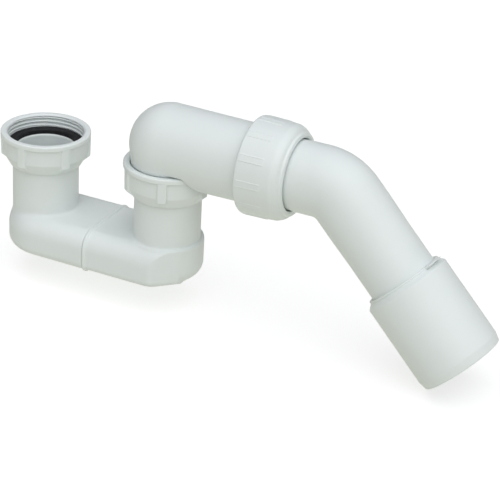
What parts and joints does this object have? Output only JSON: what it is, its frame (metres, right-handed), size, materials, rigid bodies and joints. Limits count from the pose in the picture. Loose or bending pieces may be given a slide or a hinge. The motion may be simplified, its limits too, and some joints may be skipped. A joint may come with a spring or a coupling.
{
  "type": "bath trap",
  "caption": "Low bath trap: welded flat channel between two upright tubes with union nuts, a swivelling elbow, a 45 degree bend in a compression joint and a 40/50 reducer sleeve.",
  "frame": {"origin": "on the inlet axis at the sealing face of the inlet gasket, where the inlet nut's thread begins", "axes": "+Z along the inlet axis, up and out of the inlet nut; +X along the channel from inlet to outlet; +Y completes the right-handed frame"},
  "size_m": [0.3141, 0.0606, 0.1296],
  "materials": {
    "body_plastic": "satin white moulded polypropylene",
    "nut_plastic": "satin white moulded polypropylene",
    "elbow_plastic": "satin white moulded polypropylene",
    "bend_plastic": "satin white moulded polypropylene",
    "sleeve_plastic": "satin white moulded polypropylene",
    "washer_plastic": "slippery white ring",
    "seal_rubber": "black flexible seal"
  },
  "bodies": {
    "trap": {"trap_inlet_half": "body_plastic", "trap_outlet_half": "body_plastic", "inlet_gasket": "seal_rubber", "outlet_nut": "nut_plastic", "outlet_gasket": "seal_rubber"},
    "inlet_nut": {"inlet_nut": "nut_plastic"},
    "elbow": {"elbow": "elbow_plastic", "compression_nut": "nut_plastic", "cone_seal": "seal_rubber", "slip_washer": "washer_plastic"},
    "bend": {"outlet_bend": "bend_plastic", "reducer_sleeve": "sleeve_plastic", "reducer_ring": "seal_rubber"}
  },
  "joints": [
    {"name": "inlet_nut_spin", "type": "hinge", "parent": "trap", "child": "inlet_nut", "pos_m": [0, 0, 0], "axis": [0, 0, 1], "continuous": true},
    {"name": "elbow_swivel", "type": "hinge", "parent": "trap", "child": "elbow", "pos_m": [0.0824, 0, 0], "axis": [0, 0, 1], "range_deg": [-130, 130]},
    {"name": "bend_turn", "type": "hinge", "parent": "elbow", "child": "bend", "pos_m": [0.0824, 0, 0.0188], "axis": [1, 0, 0], "continuous": true}
  ]
}
